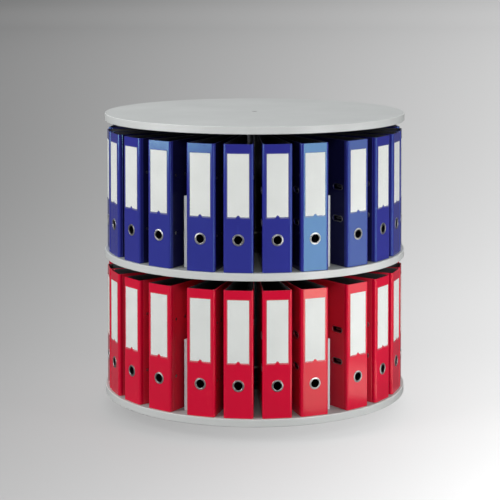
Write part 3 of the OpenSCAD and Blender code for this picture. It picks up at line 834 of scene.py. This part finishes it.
def painted_glow_paper():
    """Paper with a painted glow, paler from the far left towards the near right.

    Its own glow, seen only by the camera, is painted light: it stands for the light falling off across the
    backdrop and keeps the shadow under the stand faint. It bounces little of the lamps' light.
    """
    made = Finish("painted_glow_backdrop_paper", (0.13, 0.13, 0.13), 0.8)
    turned_place = made.stretched((1, 1, 1), (0, 0, radians(-VIEW_TURN)))
    split = made.node("ShaderNodeSeparateXYZ", Vector=turned_place)

    def worked(operation, first, second):
        step = made.tree.nodes.new("ShaderNodeMath")
        step.operation = operation
        for socket, value in zip(step.inputs, (first, second)):
            if isinstance(value, bpy.types.NodeSocket):
                made.tree.links.new(value, socket)
            else:
                socket.default_value = value
        return step.outputs[0]

    depth = worked("MAXIMUM", worked("ADD", split.outputs["Y"], CAMERA_DISTANCE), 0.5)
    across = worked("MULTIPLY", worked("DIVIDE", split.outputs["X"], depth), ACROSS_RISE)
    near = worked("MULTIPLY", worked("DIVIDE", CAMERA_HEIGHT, depth), NEAR_RISE)
    tone = worked("ADD", worked("ADD", across, near), MIDDLE_TONE)
    far_glow = worked("MULTIPLY", worked("SUBTRACT", near, FAR_START), FAR_RISE)
    even_glow = worked("MAXIMUM", worked("MINIMUM", far_glow, LAMP_SHARE), 0.0)
    lit = worked("ADD", even_glow, worked("MULTIPLY", worked("POWER", near, 2.0), NEAR_LAMP_SHARE))
    # The painted glow: the tone wanted, less what the lamps add
    grey = worked("SUBTRACT", worked("POWER", worked("MINIMUM", tone, 1.05), TONE_TO_LIGHT), lit)
    seen = made.tree.nodes.new("ShaderNodeLightPath").outputs["Is Camera Ray"]
    made.link(grey, "Emission Color")
    made.link(seen, "Emission Strength")
    made.bumps((made.noise(300, 3), 0.05, 0.2 * MM))
    return made.material


def studio_floor():
    """A floor that reaches out of sight."""
    bm = bmesh.new()
    bmesh.ops.create_grid(bm, x_segments=1, y_segments=1, size=FLOOR_HALF)
    mesh = pattern_mesh("studio_floor", bm)
    mesh.materials.append(painted_glow_paper())
    floor = bpy.data.objects.new("studio_floor", mesh)
    scene.collection.objects.link(floor)


def round_the_stand(turn, distance, height):
    """A point turn degrees to the right of the camera, distance out from the column."""
    angle = radians(VIEW_TURN + turn)
    return Vector((distance * sin(angle), -distance * cos(angle), height))


def softbox(name, spot, aim, width, tall, power):
    """An area light at one (turn, distance, height), facing another."""
    light = bpy.data.lights.new(name, "AREA")
    light.shape = "RECTANGLE"
    light.size, light.size_y = width, tall
    light.energy = power
    lamp = bpy.data.objects.new(name, light)
    lamp.location = round_the_stand(*spot)
    lamp.visible_camera = False
    lamp.rotation_euler = (round_the_stand(*aim) - lamp.location).to_track_quat("-Z", "Y").to_euler()
    scene.collection.objects.link(lamp)


def studio():
    """Soft lamps all round, and low panels and cards that the right-hand spines mirror."""
    studio_floor()
    centre = (0, 0, 0.4)
    softbox("left_key", (-60, 3.6, 2.5), centre, 1.6, 1.8, 98)
    softbox("right_key", (60, 3.6, 2.5), centre, 1.6, 1.8, 35)
    softbox("front_fill", (4, 4.6, 3.0), centre, 2.0, 1.2, 66)
    softbox("right_front_panel", (39, 1.25, 0.42), (30, 0, 0.42), 0.24, 0.84, 3.8)
    softbox("right_side_panel", (73, 1.25, 0.42), (60, 0, 0.42), 0.24, 0.84, 1.3)
    softbox("right_front_card", (37, 0.84, 0.01), (37, 0.84, 1), 0.37, 0.37, 0.85)
    softbox("right_side_card", (68, 0.80, 0.01), (68, 0.80, 1), 0.37, 0.37, 0.85)
    softbox("left_low_strip", (-58, 2.0, 0.58), (0, 0, 0.55), 1.6, 0.12, 6)
    softbox("overhead", (0, 0.1, 3.2), (0, 0, 0), 2.4, 2.4, 6)
    softbox("backdrop_light", (180, 17, 9), (180, 16, 0), 32, 29, 3500)
    world = bpy.data.worlds.new("studio_air")
    world.use_nodes = True
    air = world.node_tree.nodes["Background"]
    air.inputs["Color"].default_value = (0.95, 0.97, 1.0, 1)
    air.inputs["Strength"].default_value = 0.12
    scene.world = world
    scene.view_settings.view_transform = "Standard"


def camera():
    """A long lens whose shift keeps the uprights parallel while it looks down on the top."""
    lens = bpy.data.cameras.new("camera")
    lens.lens, lens.sensor_width = LENS_LENGTH, SENSOR_W
    lens.shift_x, lens.shift_y = SHIFT_X, SHIFT_Y
    lens.clip_start, lens.clip_end = 0.1, 400
    eye = bpy.data.objects.new("camera", lens)
    eye.location = round_the_stand(0, CAMERA_DISTANCE, CAMERA_HEIGHT)
    eye.rotation_euler = (radians(90 - CAMERA_PITCH), 0, radians(VIEW_TURN))
    scene.collection.objects.link(eye)
    scene.camera = eye


studio()
camera()
